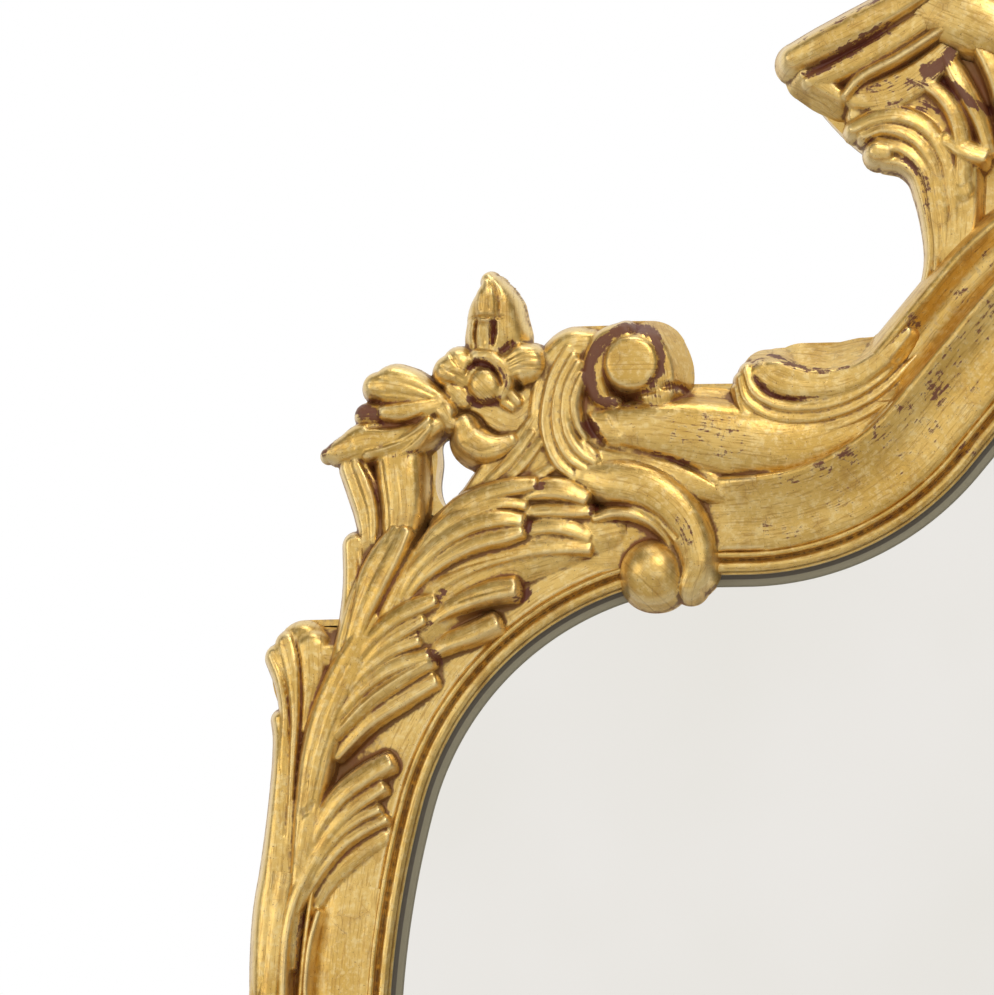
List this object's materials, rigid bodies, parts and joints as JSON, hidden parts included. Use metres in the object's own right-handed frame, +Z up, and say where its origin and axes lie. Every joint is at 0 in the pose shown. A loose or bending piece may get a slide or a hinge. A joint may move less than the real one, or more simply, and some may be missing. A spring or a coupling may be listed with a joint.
{
  "type": "wall mirror",
  "caption": "Carved and gilded wall mirror with a shaped bevelled glass, acanthus corners, scrolls and flower sprays, shell crest and apron, and hanging rings behind.",
  "frame": {"origin": "on the wall plane, behind the centre of the glass", "axes": "+X to the viewer's right, +Z up, +Y from the mirror into the wall, so the front faces -Y"},
  "size_m": [0.8446, 0.054, 1.2328],
  "materials": {
    "gilding": "gold leaf over red bole, rubbed at the edges",
    "frame_board": "bole and gold wash on the edges, bare wood at the back",
    "joint_wood": "bare",
    "backing_wood": "bare, aged",
    "mirror_glass": "polished, bevelled edge",
    "hanger_brass": "dull",
    "hanger_steel": "dull",
    "pad_rubber": "matt"
  },
  "bodies": {
    "frame": {"apron_board": "frame_board", "apron_leaf_left": "gilding", "apron_leaf_right": "gilding", "apron_shell": "gilding", "backing_blocks": "backing_wood", "backing_board": "backing_wood", "board_dowels": "joint_wood", "bottom_bead": "gilding", "crest_board": "frame_board", "crest_leaf_left": "gilding", "crest_leaf_right": "gilding", "crest_ledge_left": "gilding", "crest_ledge_right": "gilding", "crest_shell": "gilding", "flower_left": "gilding", "flower_right": "gilding", "hanger_plate_left": "hanger_brass", "hanger_plate_right": "hanger_brass", "hanger_screws": "hanger_steel", "joint_tongues": "joint_wood", "leaf_sprig_left": "gilding", "leaf_sprig_right": "gilding", "lower_ball_scroll_left": "gilding", "lower_ball_scroll_right": "gilding", "lower_corner_acanthus_left": "gilding", "lower_corner_acanthus_right": "gilding", "lower_rail_board_left": "frame_board", "lower_rail_board_right": "frame_board", "lower_rail_moulding_left": "gilding", "lower_rail_moulding_right": "gilding", "lower_stile_acanthus_left": "gilding", "lower_stile_acanthus_right": "gilding", "lower_volute_left": "gilding", "lower_volute_right": "gilding", "mirror_glass": "mirror_glass", "side_bead_left": "gilding", "side_bead_right": "gilding", "stile_board_left": "frame_board", "stile_board_right": "frame_board", "stile_moulding_left": "gilding", "stile_moulding_right": "gilding", "top_bead": "gilding", "upper_ball_scroll_left": "gilding", "upper_ball_scroll_right": "gilding", "upper_corner_acanthus_left": "gilding", "upper_corner_acanthus_right": "gilding", "upper_rail_board_left": "frame_board", "upper_rail_board_right": "frame_board", "upper_rail_moulding_left": "gilding", "upper_rail_moulding_right": "gilding", "upper_stile_acanthus_left": "gilding", "upper_stile_acanthus_right": "gilding", "upper_volute_left": "gilding", "upper_volute_right": "gilding", "wall_pads": "pad_rubber"},
    "ring_left": {"hanger_ring_left": "hanger_brass"},
    "ring_right": {"hanger_ring_right": "hanger_brass"}
  },
  "joints": [
    {"name": "ring_left_hinge", "type": "hinge", "parent": "frame", "child": "ring_left", "pos_m": [-0.38365, -0.0034, 0.19], "axis": [1, 0, 0], "range_deg": [0, 180]},
    {"name": "ring_right_hinge", "type": "hinge", "parent": "frame", "child": "ring_right", "pos_m": [0.38365, -0.0034, 0.19], "axis": [1, 0, 0], "range_deg": [0, 180]}
  ]
}
